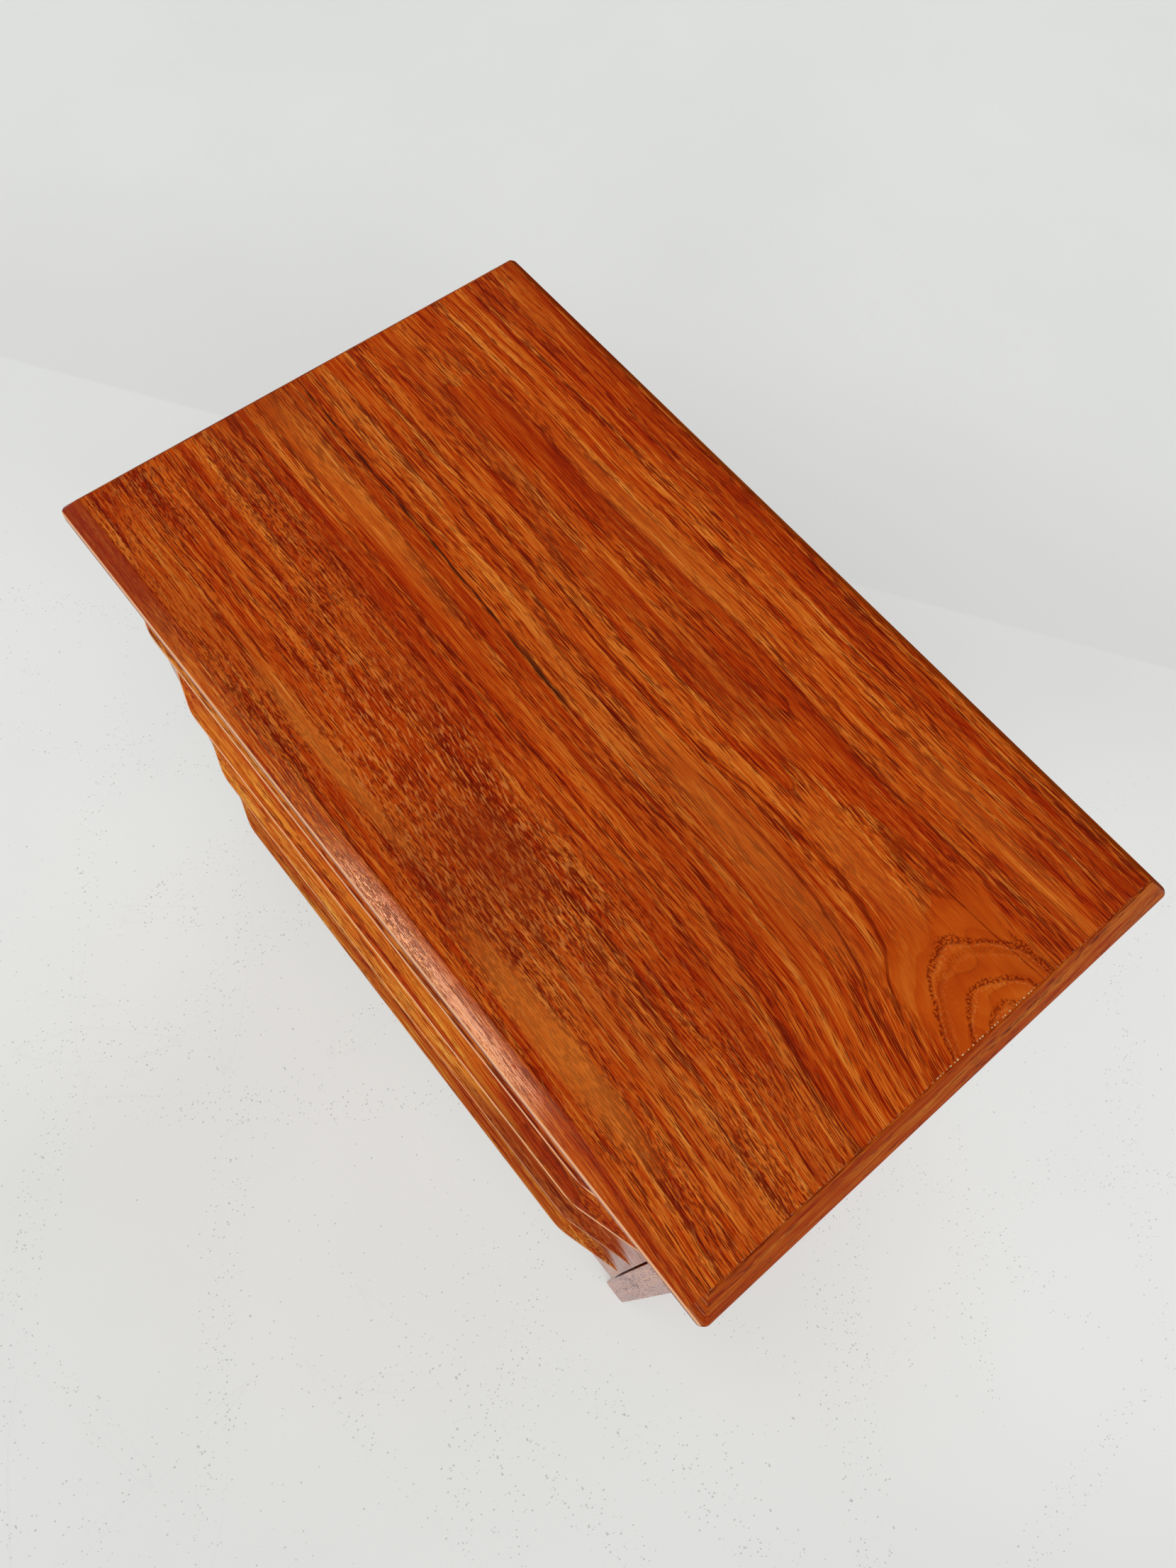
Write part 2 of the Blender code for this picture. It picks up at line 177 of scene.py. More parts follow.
class Surface:
    """One material's node tree. A value is a number, a tuple or another node's output."""

    def __init__(self, name):
        self.material = bpy.data.materials.new(name)
        self.material.use_nodes = True
        self.tree = self.material.node_tree
        self.shader = self.tree.nodes["Principled BSDF"]

    def feed(self, socket, value):
        if isinstance(value, bpy.types.NodeSocket):
            self.tree.links.new(value, socket)
        else:
            socket.default_value = value

    def math(self, operation, *values):
        node = self.tree.nodes.new("ShaderNodeMath")
        node.operation = operation
        for socket, value in zip(node.inputs, values):
            self.feed(socket, value)
        return node.outputs[0]

    def add(self, *values):
        total = values[0]
        for value in values[1:]:
            total = self.math("ADD", total, value)
        return total

    def sub(self, first, second):
        return self.math("SUBTRACT", first, second)

    def mul(self, *values):
        product = values[0]
        for value in values[1:]:
            product = self.math("MULTIPLY", product, value)
        return product

    def ramp(self, value, low, high, to_low=0.0, to_high=1.0, kind="SMOOTHSTEP"):
        """value moved smoothly from low..high to to_low..to_high, and held there outside."""
        node = self.tree.nodes.new("ShaderNodeMapRange")
        node.interpolation_type = kind
        node.clamp = True
        for socket, number in zip(node.inputs, (value, low, high, to_low, to_high)):
            self.feed(socket, number)
        return node.outputs[0]

    def place(self):
        """The x, y and z of a point in the row frame, in metres."""
        where = self.tree.nodes.new("ShaderNodeTexCoord")
        split = self.tree.nodes.new("ShaderNodeSeparateXYZ")
        self.tree.links.new(where.outputs["Object"], split.inputs[0])
        return split.outputs[0], split.outputs[1], split.outputs[2]

    def along(self, grain):
        """The same point as (along the grain, across it, into the board)."""
        x, y, z = self.place()
        return {"X": (x, y, z), "Y": (y, x, z), "Z": (z, y, x)}[grain]

    def join(self, x, y, z):
        node = self.tree.nodes.new("ShaderNodeCombineXYZ")
        for socket, value in zip(node.inputs, (x, y, z)):
            self.feed(socket, value)
        return node.outputs[0]

    def noise(self, x, y, z, detail=2.0, roughness=0.5, distortion=0.0):
        node = self.tree.nodes.new("ShaderNodeTexNoise")
        node.noise_dimensions = "3D"
        self.feed(node.inputs["Vector"], self.join(x, y, z))
        node.inputs["Scale"].default_value = 1.0
        node.inputs["Detail"].default_value = detail
        node.inputs["Roughness"].default_value = roughness
        node.inputs["Distortion"].default_value = distortion
        return node.outputs[0]

    def colours(self, value, stops):
        """A colour for each value, from (value, linear red, green, blue) stops."""
        node = self.tree.nodes.new("ShaderNodeValToRGB")
        band = node.color_ramp
        while len(band.elements) < len(stops):
            band.elements.new(0.5)
        for element, (at, red, green, blue) in zip(band.elements, stops):
            element.position = at
            element.color = (red, green, blue, 1.0)
        self.feed(node.inputs[0], value)
        return node.outputs[0]

    def mix(self, share, first, second):
        node = self.tree.nodes.new("ShaderNodeMix")
        node.data_type = "RGBA"
        self.feed(node.inputs[0], share)
        for socket, value in ((node.inputs[6], first), (node.inputs[7], second)):
            self.feed(socket, (*value, 1.0) if isinstance(value, tuple) else value)
        return node.outputs[2]

    def shade(self, colour, share):
        """A colour darkened or lightened: each channel times the share."""
        node = self.tree.nodes.new("ShaderNodeVectorMath")
        node.operation = "SCALE"
        self.feed(node.inputs[0], colour)
        self.feed(node.inputs["Scale"], share)
        return node.outputs[0]

    def tone(self, colour, tone):
        """A colour with each channel times its own share."""
        node = self.tree.nodes.new("ShaderNodeVectorMath")
        node.operation = "MULTIPLY"
        self.feed(node.inputs[0], colour)
        self.feed(node.inputs[1], tone)
        return node.outputs[0]

    def bump(self, height, distance, strength=1.0):
        node = self.tree.nodes.new("ShaderNodeBump")
        node.inputs["Strength"].default_value = strength
        node.inputs["Distance"].default_value = distance
        self.feed(node.inputs["Height"], height)
        self.tree.links.new(node.outputs[0], self.shader.inputs["Normal"])

    def finish(self, colour, roughness, **constants):
        """Ties up the shader. A constant's name is its socket's, with _ for each space."""
        self.feed(self.shader.inputs["Base Color"], colour)
        self.feed(self.shader.inputs["Roughness"], roughness)
        for name, value in constants.items():
            self.shader.inputs[name.replace("_", " ")].default_value = value
        return self.material


# Teak's colours from dark to light, as (value, linear red, green, blue)
TEAK_STOPS = (
    (0.00, 0.190, 0.0085, 0.0006),
    (0.25, 0.330, 0.0190, 0.0010),
    (0.50, 0.500, 0.0690, 0.0033),
    (0.75, 0.660, 0.1800, 0.0190),
    (1.00, 0.790, 0.3100, 0.0650),
)
PORE = (0.120, 0.0030, 0.0004)
VEIN = (0.022, 0.0050, 0.0025)
RED_TEAK = (0.275, 0.0230, 0.0024)
# Pale colour of the painted highlight along the front strip's edge and the lips' edges
ARRIS_HIGHLIGHT = (0.800, 0.440, 0.220)
# What a front's darker right-hand part is multiplied by: partly darker wood, partly painted shade
DARK_TONE = (0.50, 0.25, 0.22)


def dashes(s, along, across, depth, length, thickness, cover):
    """Short slits along the grain, 1 inside and 0 outside. A larger cover makes more of them."""
    node = s.tree.nodes.new("ShaderNodeTexVoronoi")
    node.voronoi_dimensions = "3D"
    node.inputs["Scale"].default_value = 1.0
    thin = 1 / thickness
    place = s.join(s.mul(along, 1 / length), s.mul(across, thin), s.mul(depth, thin))
    s.feed(node.inputs["Vector"], place)
    edge = s.sub(cover, node.outputs["Distance"])
    return s.ramp(edge, -0.06, 0.06)


def teak_figure(
    s,
    along,
    ring,
    flow,
    depth,
    seed,
    contrast=1.0,
    pores=1.0,
    lines=0.6,
    red=0.35,
    calm=0.0,
    shade=0.0,
):
    """Teak for coordinates in metres: along the grain, across the growth rings, and into the board.

    flow is the distance across the fibres, which follow the rings only loosely. calm fades the
    fibres and pores where the wood is plain. shade moves the colour along TEAK_STOPS. Returns the
    colour, the pores and the fibres.
    """
    lively = s.sub(1.0, calm)
    lift = s.add(s.mul(depth, 60.0), seed)
    band = s.noise(s.mul(along, 2.0), s.mul(ring, 80.0), lift, 4.0, 0.60)
    streak = s.noise(s.mul(along, 7.0), s.mul(flow, 380.0), s.mul(lift, 5.0), 3.0, 0.60)
    fibre = s.noise(s.mul(along, 34.0), s.mul(flow, 1500.0), s.mul(lift, 16.0), 2.0, 0.65)
    value = s.add(
        s.mul(s.sub(band, 0.5), 0.70 * contrast),
        s.mul(s.sub(streak, 0.5), lively, 0.95 * contrast),
        s.mul(s.sub(fibre, 0.5), lively, 1.30 * contrast),
        0.55,
        shade,
    )

    wander = s.noise(s.mul(along, 0.8), s.mul(ring, 38.0), s.add(lift, 7.3), 1.0)
    count = s.add(s.mul(ring, 115.0), s.mul(wander, 3.2))
    phase = s.math("FRACT", count)
    early = s.ramp(phase, 0.0, 0.42, 1.0, 0.0)
    rise = s.ramp(phase, 0.96, 1.0)
    line = s.math("MAXIMUM", s.ramp(phase, 0.0, 0.07, 1.0, 0.0), rise)
    value = s.sub(value, s.mul(s.ramp(phase, 0.35, 0.97), 0.14 * contrast))
    colour = s.colours(value, TEAK_STOPS)
    hue = s.noise(s.mul(along, 4.0), s.mul(ring, 26.0), s.add(lift, 21.0), 2.0)
    colour = s.mix(s.mul(s.ramp(hue, 0.42, 0.68), red), colour, RED_TEAK)

    chance = s.noise(s.mul(along, 9.0), s.mul(ring, 120.0), s.add(lift, 3.1), 2.0)
    cover = s.add(s.mul(early, 0.14), s.mul(chance, 0.70), 0.18 * pores - 0.29)
    long_pores = dashes(s, along, flow, depth, 0.0240, 0.00105, cover)
    along_too, flow_too, more = s.add(along, 0.31), s.add(flow, 0.17), s.add(cover, 0.03)
    short_pores = dashes(s, along_too, flow_too, depth, 0.0110, 0.00085, more)
    flecks = s.mul(s.math("MAXIMUM", long_pores, s.mul(short_pores, 0.85)), lively)

    patchy = s.noise(s.mul(along, 7.0), s.mul(ring, 55.0), s.add(lift, 5.7), 1.0)
    broken = s.noise(s.mul(along, 110.0), s.mul(flow, 700.0), lift, 1.0)
    line = s.mul(line, s.ramp(patchy, 0.40, 0.62), s.ramp(broken, 0.30, 0.60, 0.25, 1.0))
    colour = s.mix(s.mul(line, lines), colour, PORE)
    colour = s.mix(s.mul(flecks, 0.88), colour, PORE)
    return colour, flecks, fibre


def lacquer(s, colour, flecks, fibre, gloss, base_rough, relief=0.00012):
    """Satin lacquer over open pores: the pores dip and scatter, the fibres ripple a little."""
    roughness = s.add(base_rough, s.mul(fibre, 0.10), s.mul(flecks, 0.14))
    height = s.sub(s.mul(fibre, 0.25), flecks)
    s.bump(height, relief, 0.6)
    return s.finish(colour, roughness, Specular_IOR_Level=gloss)


def grained(s, grain, seed, tone, lean=0.35, **figure):
    """Teak's colour, pores and fibres with the grain along X, Y or Z. lean turns its rings."""
    along, across, depth = s.along(grain)
    wander = s.noise(s.mul(along, 3.0), s.mul(across, 7.0), s.add(s.mul(depth, 7.0), seed), 1.0)
    ring = s.add(across, s.mul(depth, lean), s.mul(s.sub(wander, 0.5), 0.022))
    deep = s.sub(depth, s.mul(across, lean))
    colour, flecks, fibre = teak_figure(s, along, ring, ring, deep, seed, **figure)
    return s.tone(colour, tone), flecks, fibre


def teak(name, grain, seed, tone=(1.0, 1.0, 1.0), gloss=0.3, rough=0.08, **figure):
    """Teak for one piece."""
    s = Surface(name)
    return lacquer(s, *grained(s, grain, seed, tone, **figure), gloss, rough)


# The figure of the top: a flat-sawn board whose rings part round a ridge line, in metres from its
# centre. Where the ring's core is shallow, at the right-hand end, the rings close into arches.
RIDGE_LEFT = 0.060
RIDGE_RIGHT = 0.045
RIDGE_TURN = (0.10, 0.25)
CORE_SPAN = 0.30
CORE_DEEPEST = 0.060
CORE_DEPTHS = (
    (-0.300, 0.0500),
    (-0.080, 0.0426),
    (0.045, 0.0372),
    (0.110, 0.0435),
    (0.200, 0.0495),
    (0.238, 0.0420),
    (0.264, 0.0325),
    (0.300, 0.0180),
)
LOW_TILT = 0.020
LOW_TILT_OVER = 0.060
UPPER_CORE = 0.040
UPPER_FROM = (0.012, 0.032)
UPPER_BLEND = (0.030, 0.005)
UPPER_TURN = (0.15, 0.28)
UPPER_RISE = 0.010
UPPER_SQUEEZE = 0.82


def smooth(value, low, high):
    share = min(1.0, max(0.0, (value - low) / (high - low)))
    return share * share * (3 - 2 * share)


class TopFigure:
    """The ring field of the top, once as shader nodes and once as plain numbers for placing veins."""

    def __init__(self, s, x, y):
        self.s = s
        self.x = x
        node = s.tree.nodes.new("ShaderNodeFloatCurve")
        self.curve = node.mapping.curves[0]
        self.mapping = node.mapping
        while len(self.curve.points) < len(CORE_DEPTHS):
            self.curve.points.new(0.5, 0.5)
        for point, (at, depth) in zip(self.curve.points, CORE_DEPTHS):
            point.location = ((at + CORE_SPAN) / (2 * CORE_SPAN), depth / CORE_DEEPEST)
        node.mapping.update()
        share = s.ramp(x, -CORE_SPAN, CORE_SPAN, kind="LINEAR")
        s.feed(node.inputs["Value"], share)
        core = s.mul(node.outputs[0], CORE_DEEPEST)
        ridge = s.ramp(x, *RIDGE_TURN, RIDGE_LEFT, RIDGE_RIGHT)
        self.offset = s.sub(y, ridge)
        low_side = s.ramp(s.mul(self.offset, -1.0), 0.0, LOW_TILT_OVER)
        squeeze = s.mul(s.ramp(self.offset, 0.0, 0.02), 1 - UPPER_SQUEEZE)
        tilted = s.add(s.mul(self.offset, s.sub(1.0, squeeze)), s.mul(x, LOW_TILT, low_side))
        main = s.math("SQRT", s.add(s.mul(tilted, tilted), s.mul(core, core)))
        raised = s.sub(y, s.ramp(x, 0.18, 0.30, RIDGE_LEFT, RIDGE_LEFT + UPPER_RISE))
        upper = s.math("SQRT", s.add(s.mul(raised, raised), UPPER_CORE**2))
        start = s.ramp(x, *UPPER_TURN, *UPPER_FROM)
        is_upper = s.ramp(self.offset, start, s.add(start, s.ramp(x, *UPPER_TURN, *UPPER_BLEND)))
        self.ring = s.add(main, s.mul(is_upper, s.sub(upper, main)))

    def ring_at(self, x, y):
        share = (x + CORE_SPAN) / (2 * CORE_SPAN)
        core = self.mapping.evaluate(self.curve, share) * CORE_DEEPEST
        ridge = RIDGE_LEFT + (RIDGE_RIGHT - RIDGE_LEFT) * smooth(x, *RIDGE_TURN)
        offset = y - ridge
        squeezed = offset * (1 - (1 - UPPER_SQUEEZE) * smooth(offset, 0.0, 0.02))
        tilted = squeezed + LOW_TILT * x * smooth(-offset, 0.0, LOW_TILT_OVER)
        main = math.hypot(tilted, core)
        raised = y - RIDGE_LEFT - UPPER_RISE * smooth(x, 0.18, 0.30)
        upper = math.hypot(raised, UPPER_CORE)
        turn = smooth(x, *UPPER_TURN)
        start = UPPER_FROM[0] + (UPPER_FROM[1] - UPPER_FROM[0]) * turn
        blend = UPPER_BLEND[0] + (UPPER_BLEND[1] - UPPER_BLEND[0]) * turn
        is_upper = smooth(offset, start, start + blend)
        return main + is_upper * (upper - main), 1.0 if offset > 0 else -1.0

    def vein(self, through, start, end, width, waver):
        """A vein that follows one ring through a point, from start to end along the grain."""
        s = self.s
        level, side = self.ring_at(*through)
        on_side = s.ramp(s.mul(self.offset, side), 0.0, 0.004)
        return s.mul(stroke(s, self.x, s.sub(self.ring, level), start, end, width, waver), on_side)


def stroke(s, x, away, start, end, width, waver, tip=0.03):
    """A wavering stroke where away is near 0, swelling, thinning and tapered at both ends."""
    wobble = s.noise(s.mul(x, 30.0), 0.0, waver, 2.0)
    body = s.noise(s.mul(x, 60.0), s.mul(away, 600.0), waver + 3.0, 2.0)
    away = s.math("ABSOLUTE", s.add(away, s.mul(s.sub(wobble, 0.5), 0.0026)))
    half = s.mul(s.add(body, 0.35), width)
    inside = s.ramp(away, s.mul(half, 0.35), half, 1.0, 0.0)
    ends = s.mul(s.ramp(x, start, start + tip), s.ramp(x, end - tip, end, 1.0, 0.0))
    return s.mul(inside, ends, s.ramp(body, 0.30, 0.58, 0.30, 1.0))


def straight_vein(s, x, y, start, end, width, waver):
    """A vein from one point to another."""
    slope = (end[1] - start[1]) / (end[0] - start[0])
    away = s.sub(y, s.add(s.mul(x, slope), start[1] - slope * start[0]))
    return stroke(s, x, away, start[0], end[0], width, waver)


def cloud(s, x, y, centre, half_size):
    """A soft oval patch, from 1 at its centre to 0 at its edge."""
    across = s.math("POWER", s.mul(s.sub(x, centre[0]), 1 / half_size[0]), 2.0)
    down = s.math("POWER", s.mul(s.sub(y, centre[1]), 1 / half_size[1]), 2.0)
    return s.ramp(s.add(across, down), 0.0, 1.0, 1.0, 0.0)


DARK_CLOUDS = (
    ((0.050, 0.060), (0.075, 0.018), 0.35),
    ((0.052, -0.106), (0.050, 0.024), 0.45),
    ((0.045, -0.125), (0.080, 0.040), 0.30),
    ((-0.180, 0.058), (0.130, 0.012), 0.30),
    ((-0.110, 0.085), (0.200, 0.010), 0.25),
    ((-0.280, -0.030), (0.030, 0.050), 0.25),
)
PALE_CLOUDS = (
    ((0.130, 0.004), (0.120, 0.014), 0.30),
    ((-0.060, 0.098), (0.120, 0.010), 0.22),
    ((0.220, 0.116), (0.110, 0.010), 0.22),
    ((-0.200, -0.034), (0.130, 0.012), 0.28),
    ((-0.050, -0.146), (0.090, 0.006), 0.45),
    ((0.150, -0.148), (0.100, 0.012), 0.50),
    ((0.180, 0.044), (0.060, 0.014), 0.25),
)
DARKER, PALER = -0.11, 0.11
SHADES = (
    ((0.09, 0.075), (0.08, 0.02), DARKER),
    ((-0.27, 0.08), (0.05, 0.02), DARKER),
    ((-0.16, 0.14), (0.08, 0.03), DARKER),
    ((-0.16, 0.09), (0.08, 0.03), DARKER),
    ((-0.09, -0.06), (0.17, 0.03), DARKER),
    ((0.03, 0.045), (0.08, 0.02), DARKER),
    ((-0.02, -0.10), (0.08, 0.04), DARKER),
    ((-0.28, -0.15), (0.05, 0.02), DARKER),
    ((0.29, 0.02), (0.04, 0.04), DARKER),
    ((0.29, 0.14), (0.03, 0.04), DARKER),
    ((0.02, 0.0), (0.17, 0.02), PALER),
    ((-0.21, 0.015), (0.08, 0.025), PALER),
    ((0.11, -0.13), (0.08, 0.025), PALER),
    ((-0.09, -0.15), (0.07, 0.015), PALER),
    ((-0.09, 0.05), (0.06, 0.015), PALER),
    ((-0.24, -0.02), (0.06, 0.02), PALER),
    ((0.25, -0.09), (0.06, 0.03), PALER),
)
RING_VEINS = (
    ((-0.150, -0.0145), -0.300, 0.020, 0.00135, 1.00, 1.0),
    ((-0.010, -0.0195), -0.060, 0.022, 0.00150, 1.00, 4.0),
    ((0.010, -0.0030), -0.060, 0.060, 0.00100, 0.90, 7.0),
    ((0.000, 0.0220), -0.090, 0.275, 0.00085, 0.88, 17.0),
    ((0.150, 0.0130), 0.030, 0.292, 0.00085, 0.80, 19.0),
    ((0.150, 0.0900), 0.040, 0.240, 0.00080, 0.60, 23.0),
    ((-0.200, -0.0500), -0.240, 0.030, 0.00090, 0.65, 37.0),
    ((-0.120, -0.0680), -0.200, -0.060, 0.00100, 0.65, 41.0),
    ((0.150, -0.0600), 0.020, 0.260, 0.00080, 0.50, 43.0),
    ((-0.210, -0.1120), -0.270, -0.170, 0.00110, 0.55, 47.0),
)
STRAIGHT_VEINS = (
    ((-0.290, 0.0690), (-0.060, 0.0735), 0.00090, 0.75, 11.0),
    ((-0.295, 0.0575), (-0.250, 0.0580), 0.00120, 0.80, 13.0),
    ((-0.280, 0.0300), (-0.080, 0.0290), 0.00070, 0.65, 53.0),
    ((0.040, 0.1270), (0.240, 0.1310), 0.00070, 0.50, 29.0),
    ((0.150, 0.0655), (0.305, 0.0780), 0.00095, 0.80, 31.0),
    ((0.180, 0.1000), (0.300, 0.1030), 0.00090, 0.60, 59.0),
)
ARCHES = ((0.2395, 0.75), (0.2480, 0.30), (0.2670, 0.75), (0.2830, 0.60))
ARCH_HALF_HEIGHT = 0.046
FRONT_CURL = ((0.010, -0.110), (0.150, 0.050))
GLINT = (0.740, 0.240, 0.050)
DARK_TINT = (0.235, 0.0200, 0.0023)
PALE_TINT = (0.640, 0.165, 0.0180)
NEST_TINT = (0.520, 0.0860, 0.0050)
PALE_ARCH = (0.760, 0.270, 0.060)
OLD_GLUE = (0.780, 0.520, 0.260)
RED_END = (0.270, 0.0160, 0.0020)


def add_front_figure(s, colour, flecks, x, y, flow):
    """The dense short pores of the front half, with a curl in their middle that glints."""
    front = s.ramp(y, -0.035, -0.085)
    patchy = s.noise(s.mul(x, 8.0), s.mul(y, 26.0), 1.0, 2.0)
    dense = s.mul(front, s.ramp(patchy, 0.34, 0.58, 0.40, 1.0))
    curl = s.mul(cloud(s, x, y, *FRONT_CURL), front)
    waver = s.sub(s.noise(s.mul(x, 30.0), s.mul(y, 60.0), 2.0), 0.5)
    lean = s.add(flow, s.mul(waver, 0.003), s.mul(x, curl, 0.05))
    cover = s.add(s.mul(dense, 0.40), s.mul(patchy, 0.25), -0.10)
    short = s.mul(dashes(s, x, lean, 0.0, 0.0048, 0.00085, cover), dense)
    colour = s.mix(s.mul(short, 0.75), colour, PORE)
    slant = s.add(y, s.mul(x, 0.16))
    glints = s.noise(s.mul(x, 120.0), s.mul(slant, 700.0), 6.0, 1.0)
    glints = s.mul(s.ramp(glints, 0.54, 0.66), s.add(curl, s.mul(dense, 0.5)))
    return s.mix(s.mul(glints, 0.42), colour, GLINT), s.math("MAXIMUM", flecks, short)


def add_clouds(s, colour, x, y):
    """The top's tinted patches, dark and pale."""
    for clouds, tint in ((DARK_CLOUDS, DARK_TINT), (PALE_CLOUDS, PALE_TINT)):
        for centre, half_size, share in clouds:
            colour = s.mix(s.mul(cloud(s, x, y, centre, half_size), share), colour, tint)
    return colour


def top_shade(s, x, y):
    """How much darker or paler the top's grain is at a point."""
    shade = 0.0
    for centre, half_size, more in SHADES:
        shade = s.add(shade, s.mul(cloud(s, x, y, centre, half_size), more))
    return shade


def add_veins(s, colour, figure, x, y):
    """The top's dark veins, and the arches at its right-hand end."""
    for through, start, end, width, strength, waver in RING_VEINS:
        mark = figure.vein(through, start, end, width, waver)
        colour = s.mix(s.mul(mark, 0.85 * strength), colour, VEIN if strength > 0.9 else PORE)
    for start, end, width, strength, waver in STRAIGHT_VEINS:
        mark = straight_vein(s, x, y, start, end, width, waver)
        colour = s.mix(s.mul(mark, 0.85 * strength), colour, PORE)
    for apex, strength in ARCHES:
        dark, pale = arch_line(s, figure, apex, x, y)
        colour = s.mix(s.mul(pale, 0.45 * strength), colour, PALE_ARCH)
        colour = s.mix(s.mul(dark, strength), colour, PORE)
    return colour


def add_glue_line(s, colour, x, y, half_length):
    """The joint between the board and its right-hand strip, with pale beads of old glue."""
    glue = s.ramp(x, half_length - 0.0006, half_length - 0.0003)
    bead = s.ramp(s.noise(0.0, s.mul(y, 520.0), 3.0, 1.0), 0.50, 0.58)
    bead = s.mul(bead, s.ramp(s.math("ABSOLUTE", s.sub(y, 0.030)), 0.030, 0.045, 1.0, 0.15))
    colour = s.mix(s.mul(glue, 0.25), colour, PORE)
    return s.mix(s.mul(glue, bead, 0.90), colour, OLD_GLUE)


def make_top_teak(name, low, high, gloss, rough, light=1.0, left=0.0, fall=0.0, wear_and_highlight=0.0):
    """The top's figure: long bands, a nest of arches at the right, a dense short-grained front.

    It runs on over the front and back edge strips: light dims it with painted shade, left reddens
    its left end, fall carries it down their slopes, and the last argument paints a pale highlight
    along the front strip's outermost edge.
    """
    s = Surface(name)
    world_x, world_y, z = s.place()
    x = s.sub(world_x, (low.x + high.x) / 2)
    y = s.sub(world_y, (low.y + high.y) / 2)
    y = s.add(y, s.mul(s.sub(z, high.z), fall))
    figure = TopFigure(s, x, y)
    sway = s.mul(s.sub(s.noise(s.mul(x, 7.0), s.mul(y, 14.0), 4.0, 2.0), 0.5), 0.009)
    ripple = s.noise(s.mul(x, 28.0), s.mul(y, 45.0), 9.0, 1.0)
    ring = s.add(figure.ring, sway, s.mul(s.sub(ripple, 0.5), 0.0022))
    side = s.ramp(figure.offset, -0.05, 0.05, -0.02, 0.02)
    below = s.mul(figure.offset, -1.0)
    reach = s.mul(s.ramp(below, 0.0, 0.02), s.ramp(below, 0.04, 0.17, 1.0, 0.25))
    swing = s.mul(s.ramp(x, 0.19, 0.31), reach, 0.026)
    flow = s.add(y, s.mul(x, 0.012), swing, sway)
    beside = s.math("ABSOLUTE", figure.offset)
    within = s.ramp(beside, ARCH_HALF_HEIGHT - 0.016, ARCH_HALF_HEIGHT, 1.0, 0.0)
    nest = s.mul(s.ramp(x, 0.205, 0.240), within)
    plain = dict(lines=0.7, calm=s.mul(nest, 0.85), shade=top_shade(s, x, y))

    colour, flecks, fibre = teak_figure(s, x, ring, flow, side, 2.4, **plain)
    colour, flecks = add_front_figure(s, colour, flecks, x, y, flow)
    colour = add_clouds(s, colour, x, y)
    colour = s.mix(s.mul(nest, 0.35), colour, NEST_TINT)
    # Painted shade: darker towards the back
    colour = s.shade(colour, s.ramp(y, 0.140, 0.170, 1.0, 0.86))
    colour = add_veins(s, colour, figure, x, y)
    colour = add_glue_line(s, colour, x, y, (high.x - low.x) / 2)
    if left:
        colour = s.mix(s.mul(s.ramp(x, -0.130, -0.230), left), colour, RED_END)
        # Painted shade: the edge strip dimmed all over
        colour = s.shade(colour, light)
    # Painted highlight: a pale line along the front strip's outermost edge
    if wear_and_highlight:
        foot = low.z + RIM_FOOT
        edge = s.ramp(s.sub(world_y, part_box("top_lipping_front")[0].y), 0.0003, 0.0011, 1.0, 0.0)
        edge = s.mul(edge, s.ramp(z, foot - 0.0022, foot - 0.0014))
        colour = s.mix(s.mul(edge, wear_and_highlight), colour, ARRIS_HIGHLIGHT)
    return lacquer(s, colour, flecks, fibre, gloss, rough)


def arch_line(s, figure, apex, x, y):
    """The grainy dark line of one arch, and the pale one inside it: the ring with its crown there."""
    level, _ = figure.ring_at(apex, RIDGE_RIGHT)
    wobble = s.noise(s.mul(x, 90.0), s.mul(y, 90.0), apex * 100.0, 1.0)
    away = s.add(s.sub(figure.ring, level), s.mul(s.sub(wobble, 0.5), ARCH_WAVER))
    grit = s.noise(s.mul(x, 650.0), s.mul(y, 650.0), 0.0, 1.0)
    dark = s.ramp(s.math("ABSOLUTE", away), s.mul(grit, 0.0006), s.mul(grit, 0.0022), 1.0, 0.0)
    pale = s.ramp(s.math("ABSOLUTE", s.add(away, 0.0011)), 0.0, s.mul(grit, 0.0018), 1.0, 0.0)
    beside = s.math("ABSOLUTE", figure.offset)
    within = s.ramp(beside, ARCH_HALF_HEIGHT - 0.006, ARCH_HALF_HEIGHT + 0.004, 1.0, 0.0)
    zone = s.mul(s.ramp(x, 0.225, 0.240), within)
    return s.mul(dark, zone, s.ramp(grit, 0.40, 0.56)), s.mul(pale, zone, s.ramp(grit, 0.48, 0.60))


def make_pale_wood(name, grain, seed, light, dark):
    """Sanded beech or birch: pale, with fine darker fibres and small flecks."""
    s = Surface(name)
    along, across, depth = s.along(grain)
    lift = s.add(s.mul(depth, 60.0), seed)
    band = s.noise(s.mul(along, 4.0), s.mul(across, 60.0), lift, 3.0)
    fibre = s.noise(s.mul(along, 30.0), s.mul(across, 900.0), s.mul(lift, 12.0), 2.0)
    tick = s.noise(s.mul(along, 300.0), s.mul(across, 2200.0), s.mul(lift, 30.0), 1.0)
    value = s.add(s.mul(band, 0.7), s.mul(fibre, 0.45))
    colour = s.mix(s.ramp(value, 0.30, 0.85), dark, light)
    ticks = s.ramp(tick, 0.62, 0.72)
    colour = s.mix(s.mul(ticks, 0.35), colour, tuple(0.45 * c for c in dark))
    s.bump(s.sub(fibre, ticks), 0.00006, 0.5)
    return s.finish(colour, s.add(0.48, s.mul(fibre, 0.12)))


def make_steel():
    """Zinc-plated steel."""
    s = Surface("zinc_steel")
    x, y, z = s.place()
    grain = s.noise(s.mul(x, 900.0), s.mul(y, 900.0), s.mul(z, 900.0), 2.0)
    colour = s.colours(grain, ((0.0, 0.42, 0.41, 0.39), (1.0, 0.68, 0.67, 0.64)))
    return s.finish(colour, s.add(0.25, s.mul(grain, 0.2)), Metallic=1.0)


# The top


